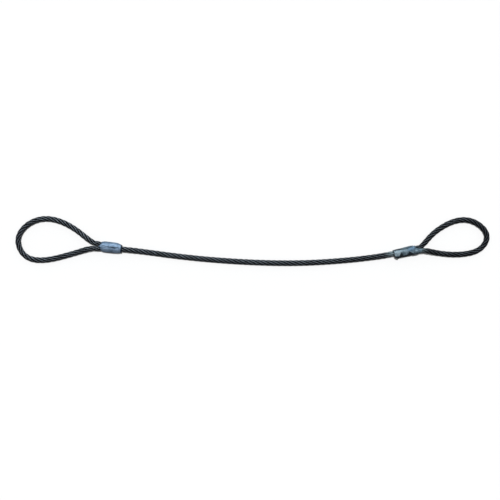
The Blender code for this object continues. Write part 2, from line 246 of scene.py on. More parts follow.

# Colours
# Near black between the strands: grease, and painted shade in the valleys.
WIRE_GREASE_AND_SHADE = (0.003, 0.003, 0.003)
WIRE_DULL = (0.26, 0.29, 0.34)
WIRE_BRIGHT = (0.55, 0.60, 0.68)
SILVER_SPRAY = (0.40, 0.50, 0.54)
CLEAN_METAL = (0.37, 0.50, 0.68)
CLEAN_METAL_SHADE = (0.22, 0.33, 0.49)
# Dark grimy metal of the right ferrule, darkened further as painted shade of its lower side.
GRIMY_METAL_IN_SHADE = (0.05, 0.065, 0.07)
GRIMY_METAL_SHADE = (0.012, 0.018, 0.022)
METAL_SCUFF = (0.80, 0.86, 0.92)
# Navy-black mixed in where the ferrules are dirty and as painted shade at the tail ring and in the
# bore.
METAL_GRIME_AND_SHADE = (0.018, 0.032, 0.060)
CORE_GREASE = (0.008, 0.008, 0.008)
CORE_WIRE = (0.035, 0.033, 0.030)
TAPE_DULL = [(0.08, 0.13, 0.17), (0.20, 0.28, 0.33)]
TAPE_BRIGHT = [(0.23, 0.32, 0.38), (0.43, 0.51, 0.56)]
TAPE_BLUE = (0.13, 0.24, 0.37)
# Near black mixed in where the tape is dirty and as painted shade on its lower side.
TAPE_GRIME_AND_SHADE = (0.012, 0.018, 0.028)

# Reaches around the joints, and the number of rope segments
BEND_REACH = 48.0 * MM
TAIL_BEND_REACH = 50.0 * MM
EYE_BEND_REACH = 70.0 * MM
SEGMENT_COUNT = 5

# Stage
FLOOR_SIZE = 14.0
FLOOR_DROP = 0.2 * MM
FLOOR_WHITE = (0.60, 0.60, 0.60)
FLOOR_BOUNCE = (0.05, 0.05, 0.05)
FLOOR_GLOW = 0.05
WORLD_NEAR = 0.09
WORLD_FAR = 0.40
WORLD_COLOUR = (0.95, 0.98, 1.0)
SUN_SOFTNESS = math.radians(5.0)
CAMERA_LENS = 85.0
PICTURE_MARGIN = 1.0549
AIM_OFFSET = (-0.0056, -0.0196)


def smoothstep(value):
    """Ease from 0 to 1 as value goes from 0 to 1, for numbers and arrays."""
    value = np.clip(value, 0.0, 1.0)
    return value * value * (3.0 - 2.0 * value)


def node_points(node):
    """All vertex places of a node of the frame."""
    return np.array([vertex.co for vertex in frame["nodes"][node].data.vertices], float)


def joint_place(name):
    return np.array(JOINTS[name]["pos_m"], float)


class FerruleFrame:
    """Where a ferrule is: u runs from its mouth to its tail, v across it, towards the dead end."""

    def __init__(self, side):
        hinge = joint_place(f"fold_{side}_eye")
        self.across = np.array(JOINTS[f"fold_{side}_eye"]["axis"], float)
        self.along = np.cross(self.across, UP)
        shell = node_points(f"{side}_ferrule")
        reach = (shell - hinge) @ self.along
        self.mouth = hinge + self.along * reach.min()
        self.length = reach.max() - reach.min()
        self.radius = np.abs(shell[:, 2] - hinge[2]).max()
        self.tail_v = (joint_place(f"lift_{side}") - hinge) @ self.across

    def place(self, u, v, z=0.0):
        """World places for u, v and a height over the axis, each a number or an array."""
        u, v, z = np.broadcast_arrays(u, v, z)
        flat = u[..., None] * self.along + v[..., None] * self.across
        return self.mouth + flat + z[..., None] * UP

    def mouth_side(self, ring):
        """The place one insert depth before the mouth, in line with a leg's ring."""
        _, v, z = self.local(ring)
        return self.place(-INSERT_DEPTH, v, z)

    def local(self, places):
        """u, v and height over the axis of world places."""
        offset = places - self.mouth
        return offset @ self.along, offset @ self.across, offset[..., 2]


def ring_centres(node, start):
    """Centres of the rings of a node drawn around a rope's centre line, in order from start."""
    rest = np.unique(np.round(node_points(node), 6), axis=0)
    centres = []
    while len(rest):
        near = np.linalg.norm(rest - rest[0], axis=1) < RING_REACH
        centres.append(rest[near].mean(axis=0))
        rest = rest[~near]
    ordered = []
    here = start
    while centres:
        nearest = min(range(len(centres)), key=lambda i: np.linalg.norm(centres[i] - here))
        here = centres.pop(nearest)
        ordered.append(here)
    return ordered


class RopeLine:
    """The centre line of the whole rope, from dead end to dead end, measured by arc length."""

    STEP = 0.5 * MM

    def __init__(self, points, start_direction, end_direction):
        points = np.array(points)
        spans = np.linalg.norm(np.diff(points, axis=0), axis=1)
        chords = np.diff(points, axis=0) / spans[:, None]
        count = len(points)
        matrix = np.eye(count)
        sides = np.zeros((count, 3))
        sides[0] = start_direction
        sides[-1] = end_direction
        for i in range(1, count - 1):
            before, after = spans[i - 1], spans[i]
            matrix[i, i - 1:i + 2] = (after, 2.0 * (before + after), before)
            sides[i] = 3.0 * (after * chords[i - 1] + before * chords[i])
        slopes = np.linalg.solve(matrix, sides)
        curve = [points[:1]]
        for i, span in enumerate(spans):
            t = np.linspace(0.0, 1.0, max(3, round(span / self.STEP) + 1))[1:, None]
            curve.append(
                (2 * t**3 - 3 * t**2 + 1) * points[i] + (t**3 - 2 * t**2 + t) * span * slopes[i]
                + (3 * t**2 - 2 * t**3) * points[i + 1] + (t**3 - t**2) * span * slopes[i + 1]
            )
        self.places = np.concatenate(curve)
        steps = np.linalg.norm(np.diff(self.places, axis=0), axis=1)
        self.lengths = np.concatenate(([0.0], np.cumsum(steps)))
        self.length = self.lengths[-1]

    def place(self, s):
        """Places on the centre line at arc lengths s."""
        s = np.asarray(s, float)
        return np.stack([np.interp(s, self.lengths, self.places[:, k]) for k in range(3)], axis=-1)

    def frame(self, s):
        """Unit vectors along the rope, to its left and upwards, at arc lengths s."""
        along = self.place(s + self.STEP) - self.place(s - self.STEP)
        along /= np.linalg.norm(along, axis=-1, keepdims=True)
        left = np.cross(UP, along)
        left /= np.linalg.norm(left, axis=-1, keepdims=True)
        return along, left, np.cross(along, left)

    def nearest(self, place):
        """Arc length of the point of the centre line nearest to a place."""
        return self.lengths[np.argmin(np.linalg.norm(self.places - place, axis=1))]


LEFT = FerruleFrame("left")
RIGHT = FerruleFrame("right")
JOINT_CHAIN = ["lift_left", "bend_1_2", "bend_2_3", "bend_3_4", "bend_4_5", "lift_right"]


def leg_rings(side, ferrule, first_leg):
    """Centres of an eye's rings, from the leg on the given side of its ferrule to the other."""
    return ring_centres(f"{side}_eye_core", ferrule.place(0.0, first_leg * ROPE_RADIUS))


LEFT_LEG = leg_rings("left", LEFT, 1.0)
RIGHT_LEG = leg_rings("right", RIGHT, -1.0)


def mouth_points(ferrule, ring):
    """Two points that lead a leg from its last free ring into its ferrule, outermost first."""
    _, v, z = ferrule.local(ring)
    inserted = ferrule.place(INSERT_DEPTH, INSERTED_SHARE * v, INSERTED_SHARE * z)
    return [ferrule.place(0.0, v, z), inserted]


def rope_points():
    """Points on the centre line of the rope, from the left dead end to the right one."""
    points = mouth_points(LEFT, LEFT_LEG[0])[::-1] + LEFT_LEG + mouth_points(LEFT, LEFT_LEG[-1])
    points += [LEFT.place(LEFT.length - k * INSERT_DEPTH, LEFT.tail_v) for k in (2, 1, 0)]
    here = joint_place("lift_left")
    for i in range(SEGMENT_COUNT):
        points.append(here)
        points += ring_centres(f"rope_{i + 1}_core", here)[1:-1]
        here = joint_place(JOINT_CHAIN[i + 1])
    points.append(here)
    points += [RIGHT.place(RIGHT.length - k * INSERT_DEPTH, RIGHT.tail_v) for k in (0, 1, 2)]
    points += mouth_points(RIGHT, RIGHT_LEG[0])[::-1] + RIGHT_LEG
    points += mouth_points(RIGHT, RIGHT_LEG[-1])
    return points


ROPE = RopeLine(rope_points(), -LEFT.along, RIGHT.along)
LEFT_TAIL_S = ROPE.nearest(joint_place("lift_left"))
RIGHT_TAIL_S = ROPE.nearest(joint_place("lift_right"))
PITCH = (RIGHT_TAIL_S - LEFT_TAIL_S) / SEGMENT_COUNT
THROATS = [
    ROPE.nearest(ferrule.mouth_side(ring))
    for ferrule, ring in (
        (LEFT, LEFT_LEG[0]), (LEFT, LEFT_LEG[-1]), (RIGHT, RIGHT_LEG[0]), (RIGHT, RIGHT_LEG[-1]),
    )
]
LEFT_EYE_RANGE = (0.0, ROPE.nearest(mouth_points(LEFT, LEFT_LEG[-1])[1]))
RIGHT_EYE_RANGE = (ROPE.nearest(mouth_points(RIGHT, RIGHT_LEG[0])[1]), ROPE.length)
LEFT_TAIL_START = ROPE.nearest(LEFT.place(LEFT.length - INSERT_DEPTH, LEFT.tail_v))
RIGHT_TAIL_END = ROPE.nearest(RIGHT.place(RIGHT.length - INSERT_DEPTH, RIGHT.tail_v))


def rope_size(s):
    """The rope's thickness as a share of its full size: smaller where a ferrule pinches it."""
    in_left_eye = s < THROATS[1]
    in_right_eye = s > THROATS[2]
    eye_start = np.where(in_left_eye, THROATS[0], THROATS[2])
    eye_end = np.where(in_left_eye, THROATS[1], THROATS[3])
    in_eye = in_left_eye | in_right_eye
    nearest = np.minimum(s - eye_start, eye_end - s)
    out_of_throat = np.minimum(np.abs(s - THROATS[1]), np.abs(s - THROATS[2]))
    near_throat = ~in_eye & (out_of_throat < SQUEEZE_LENGTH)
    nearest = np.where(in_eye, nearest, -out_of_throat)
    pinched = PINCH + (1.0 - PINCH) * smoothstep(nearest / PINCH_LENGTH)
    inside = smoothstep(-(nearest + INSERT_DEPTH) / INSERT_DEPTH)
    size = pinched - (PINCH - INSERTED_PINCH) * inside
    tail = np.minimum(np.abs(s - LEFT_TAIL_S), np.abs(s - RIGHT_TAIL_S))
    squeeze = TAIL_SQUEEZE + (1.0 - TAIL_SQUEEZE) * smoothstep(tail / SQUEEZE_LENGTH)
    return np.where(in_eye | near_throat, size, squeeze)


class Finish:
    """A Principled material with short ways to add and join its nodes."""

    def __init__(self, name):
        self.material = bpy.data.materials.new(name)
        self.material.use_nodes = True
        self.tree = self.material.node_tree
        self.shader = self.tree.nodes["Principled BSDF"]
        self.places = self.tree.nodes.new("ShaderNodeTexCoord").outputs["Object"]

    def join(self, socket, value):
        """Feed a socket with another node's output or with a plain value."""
        if isinstance(value, bpy.types.NodeSocket):
            self.tree.links.new(value, socket)
        else:
            socket.default_value = value

    def attribute(self, name):
        node = self.tree.nodes.new("ShaderNodeAttribute")
        node.attribute_name = name
        return node.outputs["Fac"]

    def noise(self, scale, detail=4.0, roughness=0.55, distortion=0.0):
        node = self.tree.nodes.new("ShaderNodeTexNoise")
        self.join(node.inputs["Vector"], self.places)
        node.inputs["Scale"].default_value = scale
        node.inputs["Detail"].default_value = detail
        node.inputs["Roughness"].default_value = roughness
        node.inputs["Distortion"].default_value = distortion
        return node.outputs["Fac"]

    def span(self, value, low, high, to_low=0.0, to_high=1.0):
        """Map a value smoothly from one range to another."""
        node = self.tree.nodes.new("ShaderNodeMapRange")
        node.interpolation_type = "SMOOTHSTEP"
        self.join(node.inputs["Value"], value)
        node.inputs["From Min"].default_value = low
        node.inputs["From Max"].default_value = high
        node.inputs["To Min"].default_value = to_low
        node.inputs["To Max"].default_value = to_high
        return node.outputs["Result"]

    def math(self, operation, first, second):
        node = self.tree.nodes.new("ShaderNodeMath")
        node.operation = operation
        self.join(node.inputs[0], first)
        self.join(node.inputs[1], second)
        return node.outputs[0]

    def mix(self, share, first, second):
        """Blend two colours by a share."""
        node = self.tree.nodes.new("ShaderNodeMix")
        node.data_type = "RGBA"
        colours = [c if isinstance(c, bpy.types.NodeSocket) else (*c, 1.0) for c in (first, second)]
        self.join(node.inputs[0], share)
        self.join(node.inputs[6], colours[0])
        self.join(node.inputs[7], colours[1])
        return node.outputs[2]

    def bump(self, height, strength, distance):
        node = self.tree.nodes.new("ShaderNodeBump")
        self.join(node.inputs["Height"], height)
        node.inputs["Strength"].default_value = strength
        node.inputs["Distance"].default_value = distance
        self.join(self.shader.inputs["Normal"], node.outputs["Normal"])

    def surface(self, colour, roughness, metallic):
        self.join(self.shader.inputs["Base Color"], colour)
        self.join(self.shader.inputs["Roughness"], roughness)
        self.join(self.shader.inputs["Metallic"], metallic)
        return self.material


def rope_finish():
    """Dark greased wire: grease and painted shade between the strands, and blue-grey steel on the
    crowns, partly worn bright and partly a painted highlight.
    """
    finish = Finish("greased_steel_wire")
    relief = finish.attribute("relief")
    grease = finish.attribute("grease")
    spray = finish.attribute("spray")
    patches = finish.noise(55.0, 5.0, 0.6)
    specks = finish.noise(900.0, 3.0, 0.6)
    worn = finish.span(patches, 0.3, 0.7, 0.6, 1.0)
    # Strand crowns get bright steel and the valleys near black: partly wear and grease, partly painted
    # highlight and painted shade.
    rubbed_and_highlit = finish.math("MULTIPLY", finish.span(relief, 0.66, 0.97), worn)
    rubbed_and_highlit = finish.math("MULTIPLY", rubbed_and_highlit, finish.span(grease, 0.0, 1.0, 1.0, 0.5))
    steel = finish.mix(finish.span(specks, 0.35, 0.7), WIRE_DULL, WIRE_BRIGHT)
    colour = finish.mix(rubbed_and_highlit, WIRE_GREASE_AND_SHADE, steel)
    silver = finish.math("MULTIPLY", spray, finish.span(relief, 0.10, 0.50))
    silver = finish.math("MULTIPLY", silver, finish.span(finish.noise(260.0, 3.0), 0.30, 0.55))
    colour = finish.mix(silver, colour, SILVER_SPRAY)
    roughness = finish.span(patches, 0.3, 0.7, 0.42, 0.58)
    metallic = finish.span(rubbed_and_highlit, 0.0, 0.6, 0.1, 0.75)
    shine = finish.span(rubbed_and_highlit, 0.0, 0.5, 0.1, 0.5)
    finish.join(finish.shader.inputs["Specular IOR Level"], shine)
    metallic = finish.math("MULTIPLY", metallic, finish.span(silver, 0.0, 1.0, 1.0, 0.3))
    finish.bump(specks, 0.12, 0.0002)
    return finish.surface(colour, roughness, metallic)


def core_finish():
    """The rope's core: dark wire soaked in grease."""
    finish = Finish("greased_core_wire")
    patches = finish.noise(300.0)
    colour = finish.mix(patches, CORE_GREASE, CORE_WIRE)
    finish.bump(patches, 0.2, 0.0003)
    return finish.surface(colour, finish.span(patches, 0.3, 0.7, 0.4, 0.6), 0.5)


def aluminium_finish(name, clean, shade, dirt_share):
    """Pressed aluminium: satin, blue-grey, dirty in its dents, with scuffs on its crowns, and with
    painted shade mixed into its dark marks at the tail ring and in the bore.
    """
    finish = Finish(name)
    grime_and_shade = finish.attribute("grime_and_shade")
    clouds = finish.noise(90.0, 5.0, 0.6, 0.4)
    scuffs = finish.noise(700.0, 4.0, 0.65)
    metal = finish.mix(finish.span(clouds, 0.32, 0.68), shade, clean)
    metal = finish.mix(finish.span(scuffs, 0.58, 0.74, 0.0, 0.35), metal, METAL_SCUFF)
    dirt_and_shade = finish.math("ADD", grime_and_shade, finish.span(clouds, 0.35, 0.6, dirt_share, 0.0))
    dirt_and_shade = finish.math("MINIMUM", dirt_and_shade, 1.0)
    colour = finish.mix(dirt_and_shade, metal, METAL_GRIME_AND_SHADE)
    roughness = finish.span(scuffs, 0.3, 0.7, 0.46, 0.60)
    metallic = finish.span(dirt_and_shade, 0.0, 1.0, 0.40, 0.20)
    finish.bump(scuffs, 0.18, 0.0002)
    return finish.surface(colour, roughness, metallic)


def tape_finish():
    """Crumpled silver tape, tinted blue in one place, dirty in its folds and torn edge, with painted
    shade on its lower side and painted highlights on its crumpled crowns.
    """
    finish = Finish("crumpled_silver_tape")
    grime_and_shade = finish.attribute("grime_and_shade")
    clouds = finish.noise(160.0, 5.0, 0.6, 0.6)
    weave = finish.noise(1500.0, 2.0, 0.5)
    dull = finish.mix(finish.span(clouds, 0.3, 0.7), *TAPE_DULL)
    bright = finish.mix(finish.span(clouds, 0.3, 0.7), *TAPE_BRIGHT)
    silver = finish.mix(finish.attribute("pale"), dull, bright)
    silver = finish.mix(finish.attribute("blue"), silver, TAPE_BLUE)
    dirt_and_shade = finish.math("ADD", grime_and_shade, finish.span(clouds, 0.34, 0.5, 0.5, 0.0))
    colour = finish.mix(finish.math("MINIMUM", dirt_and_shade, 1.0), silver, TAPE_GRIME_AND_SHADE)
    roughness = finish.span(clouds, 0.3, 0.7, 0.46, 0.60)
    finish.bump(weave, 0.10, 0.0001)
    return finish.surface(colour, roughness, 0.35)


def floor_finish():
    """A plain floor that looks white to the camera but sends little light back up."""
    finish = Finish("pale_floor")
    path = finish.tree.nodes.new("ShaderNodeLightPath").outputs["Is Camera Ray"]
    finish.shader.inputs["Specular IOR Level"].default_value = 0.0
    finish.shader.inputs["Emission Color"].default_value = (1.0, 1.0, 1.0, 1.0)
    finish.join(finish.shader.inputs["Emission Strength"], finish.math("MULTIPLY", path, FLOOR_GLOW))
    return finish.surface(finish.mix(path, FLOOR_BOUNCE, FLOOR_WHITE), 0.9, 0.0)


def add_piece(name, vertices, faces, material, attributes):
    """A smooth-shaded mesh object with its per-vertex values."""
    mesh = bpy.data.meshes.new(name)
    mesh.from_pydata(np.asarray(vertices).tolist(), [], faces)
    mesh.update()
    for label, values in attributes.items():
        layer = mesh.attributes.new(label, "FLOAT", "POINT")
        layer.data.foreach_set("value", np.asarray(values, np.float32).ravel())
    mesh.materials.append(material)
    mesh.shade_smooth()
    piece = bpy.data.objects.new(name, mesh)
    bpy.context.scene.collection.objects.link(piece)
    return piece


def tube_faces(rings, sides):
    """Faces of a tube of rings with closed ends."""
    faces = [tuple(reversed(range(sides)))]
    for r in range(rings - 1):
        for k in range(sides):
            here = r * sides + k
            after = r * sides + (k + 1) % sides
            faces.append((here, after, after + sides, here + sides))
    faces.append(tuple(range((rings - 1) * sides, rings * sides)))
    return faces


def spray_share(s, places):
    """How much silver spray landed on the rope: near the right ferrule's tail and lower eye leg."""
    u, v, _ = RIGHT.local(places)
    beyond_tail = np.clip(u - RIGHT.length, 0.0, None)
    tail = (u > 0.5 * RIGHT.length) * (1.0 - smoothstep(beyond_tail / SPRAY_TAIL_LENGTH))
    before_mouth = np.clip(-u, 0.0, None)
    leg = (u < 0.5 * RIGHT.length) * (v > 0.0) * (1.0 - smoothstep(before_mouth / SPRAY_LEG_LENGTH))
    return np.where(s > 0.5 * ROPE.length, np.maximum(tail, SPRAY_LEG_SHARE * leg), 0.0)


def add_strand(name, strand, start, end, material):
    """One strand between two arc lengths, with its outer wires twisted against the lay."""
    rings = math.ceil((end - start) / RING_STEP) + 1
    sides = WIRES * POINTS_PER_WIRE
    s = np.linspace(start, end, rings)
    _, left, up = ROPE.frame(s)
    size = rope_size(s)[:, None]
    turn = 2.0 * math.pi * ((s - LEFT_TAIL_S) / LAY_LENGTH + strand / STRAND_COUNT)[:, None]
    outward = left * np.cos(turn) + up * np.sin(turn)
    sideways = up * np.cos(turn) - left * np.sin(turn)
    axis = ROPE.place(s) + outward * STRAND_HELIX_RADIUS * size
    corner = np.arange(sides)
    angle = 2.0 * math.pi * (corner / sides - s[:, None] / WIRE_TURN_LENGTH)
    depth = WIRE_PROFILE[corner % POINTS_PER_WIRE]
    radius = (STRAND_RADIUS - depth) * size
    away = radius * np.cos(angle)
    across = radius * np.sin(angle) / math.cos(LAY_ANGLE)
    places = axis[:, None] + away[..., None] * outward[:, None] + across[..., None] * sideways[:, None]
    # Brightest on the strand crowns, darkest between wires and strands: this carries painted highlight
    # and painted shade.
    from_axis = np.hypot(STRAND_HELIX_RADIUS * size + away, across) / (ROPE_RADIUS * size)
    crown = np.clip((from_axis - CROWN_START) / (1.0 - CROWN_START), 0.0, 1.0)
    relief = crown * (1.0 - VALLEY_SHADE * depth / depth.max())
    along = np.repeat(s[:, None], sides, axis=1)
    attributes = {
        "relief": relief,
        "grease": smoothstep((along / ROPE.length - GREASE_START) / (1.0 - GREASE_START)),
        "spray": spray_share(along, places),
    }
    return add_piece(name, places.reshape(-1, 3), tube_faces(rings, sides), material, attributes)


def add_core(name, start, end, material):
    """The rope's core between two arc lengths, a small lobed rope of its own."""
    rings = math.ceil((end - start) / CORE_STEP) + 1
    s = np.linspace(start, end, rings)
    _, left, up = ROPE.frame(s)
    angle = 2.0 * math.pi * np.arange(CORE_POINTS) / CORE_POINTS
    twist = -2.0 * math.pi * s[:, None] / LAY_LENGTH
    lobes = 1.0 + CORE_LOBE_SHARE * np.cos(CORE_LOBES * angle)
    radius = CORE_RADIUS * lobes * rope_size(s)[:, None]
    away = (radius * np.cos(angle + twist))[..., None] * left[:, None]
    raised = (radius * np.sin(angle + twist))[..., None] * up[:, None]
    places = ROPE.place(s)[:, None] + away + raised
    return add_piece(name, places.reshape(-1, 3), tube_faces(rings, CORE_POINTS), material, {})


def add_rope_span(number, start, end, material, core_material):
    """A stretch of rope around one joint, standing for one segment's solids."""
    joint = JOINTS[JOINT_CHAIN[number]]
    pivot = joint_place(joint["name"])
    tangent = ROPE.frame(np.array([ROPE.nearest(pivot)]))[0][0]
    low, high = pivot - BEND_REACH * tangent, pivot + BEND_REACH * tangent
    if number == 0:
        low = LEFT.place(LEFT.length, LEFT.tail_v)
        high = pivot + TAIL_BEND_REACH * tangent
    if number == SEGMENT_COUNT:
        low = pivot - TAIL_BEND_REACH * tangent
        high = RIGHT.place(RIGHT.length, RIGHT.tail_v)
    segment = min(number + 1, SEGMENT_COUNT)
    for strand in range(STRAND_COUNT):
        name = f"rope_span_{number + 1}_strand_{strand + 1}"
        piece = add_strand(name, strand, start, end, material)
        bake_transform(piece)
        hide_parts(f"rope_{segment}_strand_{strand + 1}")
    piece = add_core(f"rope_span_{number + 1}_core", start, end, core_material)
    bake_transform(piece)
    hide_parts(f"rope_{segment}_core")


def add_eye(side, ferrule, span, material, core_material):
    """An eye's rope, from leg to leg."""
    low = ferrule.place(-EYE_BEND_REACH, 0.0)
    high = ferrule.place(0.0, 0.0)
    for strand in range(STRAND_COUNT):
        label = f"strand_{strand + 1}"
        piece = add_strand(f"{side}_eye_rope_{label}", strand, *span, material)
        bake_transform(piece)
        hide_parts(f"{side}_eye_{label}")
    piece = add_core(f"{side}_eye_rope_core", *span, core_material)
    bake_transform(piece)
    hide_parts(f"{side}_eye_core")


def circle_reach(theta, centre, radius):
    """Distance from the axis to a circle whose centre is off the axis, in each direction."""
    return centre * np.cos(theta) + np.sqrt(radius**2 - (centre * np.sin(theta))**2)


def leg_centres(side):
    """Distance from the axis and direction of an eye's two legs where they enter the mouth."""
    ferrule, rings = (LEFT, LEFT_LEG) if side == "left" else (RIGHT, RIGHT_LEG)
    places = [ferrule.local(ring)[1:] for ring in (rings[0], rings[-1])]
    return [(math.hypot(v, z), math.atan2(z, v)) for v, z in places]


def legs_reach(side, theta, share, radius):
    """Distance from the axis to the outline of an eye's two legs, filled between them."""
    reach = np.zeros_like(theta * share)
    for distance, direction in leg_centres(side):
        from_leg = theta - direction
        inside = radius**2 - (share * distance * np.sin(from_leg))**2
        around = share * distance * np.cos(from_leg) + np.sqrt(np.clip(inside, 0.0, None))
        reach = np.maximum(reach, np.where(inside > 0.0, around, 0.0))
        between = VALLEY_FILL / np.clip(np.abs(np.sin(from_leg)), VALLEY_END, None)
        reach = np.maximum(reach, between)
    return reach


def lumps(places, scale, seed):
    """Smooth noise between about -1 and 1 at each place."""
    shift = Vector((seed, 2.0 * seed, 3.0 * seed))
    flat = places.reshape(-1, 3)
    values = [noise.noise(Vector(place) * scale + shift) for place in flat]
    return np.array(values).reshape(places.shape[:-1])


def tail_shape(ferrule, side):
    """Radius and centre of the ferrule's tail end, read from the frame."""
    shell = node_points(f"{side}_ferrule")
    u, v, z = ferrule.local(shell)
    end = u > ferrule.length - END_DEPTH
    return np.abs(z[end]).max(), 0.5 * (v[end].min() + v[end].max())


def line_share(line, u, v, wander):
    """How near each place is to a line of (u, v, half width, strength) in millimetres."""
    line_u, line_v, half_width, strength = line.T
    path = np.interp(u / MM, line_u, line_v) * MM + wander
    width = np.interp(u / MM, line_u, half_width) * MM
    from_ends = np.minimum(u / MM - line_u[0], line_u[-1] - u / MM)
    ends = smoothstep(from_ends / LINE_FADE)
    return np.interp(u / MM, line_u, strength) * ends * np.exp(-((v - path) / width)**2)


def mouth_lip(side, theta):
    """Where the ferrule's mouth edge is: a tongue over the valley, set back at both legs."""
    _, direction = leg_centres(side)[0]
    sideways = np.sqrt(np.cos(theta - direction)**2 + TONGUE_BLUNTNESS**2)
    lip = (LIP_SETBACK + TONGUE_REACH) * sideways - TONGUE_REACH
    if side == "right":
        lip = lip + FAR_LIP_SETBACK * np.clip(-np.cos(theta), 0.0, 1.0)**2
    return lip


def mouth_hole(side, theta):
    """Distance from the axis to the edge of the mouth's hole, which hugs the two legs."""
    inside = smoothstep(mouth_lip(side, theta) / INSERT_DEPTH)
    share = 1.0 + (INSERTED_SHARE - 1.0) * inside
    pinch = PINCH + (INSERTED_PINCH - PINCH) * inside
    return legs_reach(side, theta, share, pinch * ROPE_RADIUS + BORE_GAP)


def shell_reach(ferrule, side, taper, u, theta):
    """Distance from the axis to the ferrule's outside, before dents."""
    tail_radius, tail_centre = tail_shape(ferrule, side)
    narrow = np.clip((u - ferrule.length + taper) / taper, 0.0, 1.0)
    radius = ferrule.radius - (ferrule.radius - tail_radius) * narrow**TAPER_POWER
    reach = circle_reach(theta, tail_centre * narrow**2, radius)
    if side == "right":
        far_side = np.clip(-np.cos(theta), 0.0, 1.0)
        reach = reach - FAR_SINK * smoothstep(u / ferrule.length) * far_side
    open_mouth = np.minimum(mouth_hole(side, theta) + LIP_THICKNESS, ferrule.radius - MOUTH_WALL)
    ease = np.clip(1.0 - (u - mouth_lip(side, theta)) / MOUTH_ROUNDING, 0.0, 1.0)**MOUTH_POWER
    return reach - (ferrule.radius - open_mouth) * ease


def add_ferrule(side, ferrule, taper, creased, material):
    """A pressed ferrule with its through bore: tongues between the rope's legs, tapered tail."""
    theta = 2.0 * math.pi * np.arange(SHELL_SIDES) / SHELL_SIDES
    lip = mouth_lip(side, theta)
    hole = np.minimum(mouth_hole(side, theta), ferrule.radius - BORE_WALL)
    share = np.linspace(0.0, 1.0, SHELL_RINGS)[:, None]
    u = lip + (ferrule.length - lip) * share
    reach = shell_reach(ferrule, side, taper, u, theta)
    edge = np.clip(1.0 - (ferrule.length - u) / TAIL_ROUNDING, 0.0, 1.0)
    reach = reach - TAIL_ROUNDING * (1.0 - np.sqrt(1.0 - edge**2))
    v, z = reach * np.cos(theta), reach * np.sin(theta)
    body = smoothstep((u - lip) / MOUTH_ROUNDING) * smoothstep((ferrule.length - u) / taper)
    flash = FLASH_HEIGHT * np.exp(-(z / FLASH_WIDTH)**2) * body
    places = ferrule.place(u, v, z)
    dents = DENT_DEPTH * np.clip(lumps(places, DENT_SCALE, seed=3.0) + DENT_SPREAD, 0.0, 1.0)
    dents += FINE_DENT_DEPTH * np.clip(lumps(places, FINE_DENT_SCALE, seed=7.0), 0.0, 1.0)
    wander = CREASE_WANDER * lumps(places, CREASE_WANDER_SCALE, seed=23.0)
    crease = line_share(PRESS_CREASE, u, v, wander) * (z > 0.0) * creased
    dented = EDGE_DENT_SHARE + (1.0 - EDGE_DENT_SHARE) * body
    reach = reach + flash - (dents + CREASE_DEPTH * crease) * dented
    rows = [ferrule.place(u, reach * np.cos(theta), reach * np.sin(theta))]
    tail_hole = circle_reach(theta, ferrule.tail_v, TAIL_SQUEEZE * ROPE_RADIUS + BORE_GAP)
    back = np.linspace(0.0, 1.0, BORE_RINGS)[:, None]
    bore = tail_hole + (hole - tail_hole) * smoothstep((back - BORE_EASE_START) / BORE_EASE_LENGTH)
    bore_u = ferrule.length - BORE_WALL + (lip + BORE_WALL - ferrule.length) * back
    rows.append(ferrule.place(bore_u, bore * np.cos(theta), bore * np.sin(theta)))
    vertices = np.concatenate(rows)
    rings = SHELL_RINGS + BORE_RINGS
    # Dark ring at the tail end: painted shade of the end face, which is dirty too.
    tail_darkening = smoothstep((u - ferrule.length + TAIL_DARKENING_WIDTH) / TAIL_DARKENING_EDGE)
    # Darker near the mouth edge, where the legs enter the ferrule.
    mouth_darkening = MOUTH_DARKENING * (1.0 - smoothstep((u - lip) / MOUTH_DARKENING_WIDTH))
    dent_dirt = DENT_DIRT * smoothstep(dents / DENT_DEPTH - DENT_DIRT_START)
    crease_dirt = smoothstep(CREASE_DIRT * crease)
    # This mask mixes dirty marks with painted shade.
    grime_and_shade = np.concatenate([
        np.clip(tail_darkening + mouth_darkening + dent_dirt + crease_dirt, 0.0, 1.0),
        # The inside of the bore is fully dark: painted shade.
        np.ones((BORE_RINGS, SHELL_SIDES)),
    ])
    faces = []
    for r in range(rings):
        for k in range(SHELL_SIDES):
            here, after = r * SHELL_SIDES, (r + 1) % rings * SHELL_SIDES
            turn = (k + 1) % SHELL_SIDES
            faces.append((here + k, here + turn, after + turn, after + k))
    name = f"{side}_pressed_ferrule"
    piece = add_piece(name, vertices.reshape(-1, 3), faces, material, {"grime_and_shade": grime_and_shade})
    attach(piece, f"{side}_splice")
    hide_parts(f"{side}_ferrule")


def add_pressed_rope(side, ferrule, part, stations, roll, material):
    """A rope end squeezed inside the ferrule, with its six strands still showing as lobes."""
    sides = 4 * CORE_POINTS
    angle = 2.0 * math.pi * np.arange(sides) / sides
    lobes = 1.0 - PRESSED_LOBES * (1.0 - np.cos(STRAND_COUNT * angle))
    rows = []
    for u, v, z, half_width, half_height in stations:
        twist = 2.0 * math.pi * u / LAY_LENGTH
        lobe = np.interp(angle + twist, angle, lobes, period=2.0 * math.pi)
        wide, high = half_width * lobe * np.cos(angle), half_height * lobe * np.sin(angle)
        across = v + wide * math.cos(roll) - high * math.sin(roll)
        rows.append(ferrule.place(u, across, z + wide * math.sin(roll) + high * math.cos(roll)))
    faces = tube_faces(len(rows), sides)
    piece = add_piece(f"{side}_pressed_{part}", np.concatenate(rows), faces, material, {})
    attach(piece, f"{side}_splice")
    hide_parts(f"{side}_{part}")


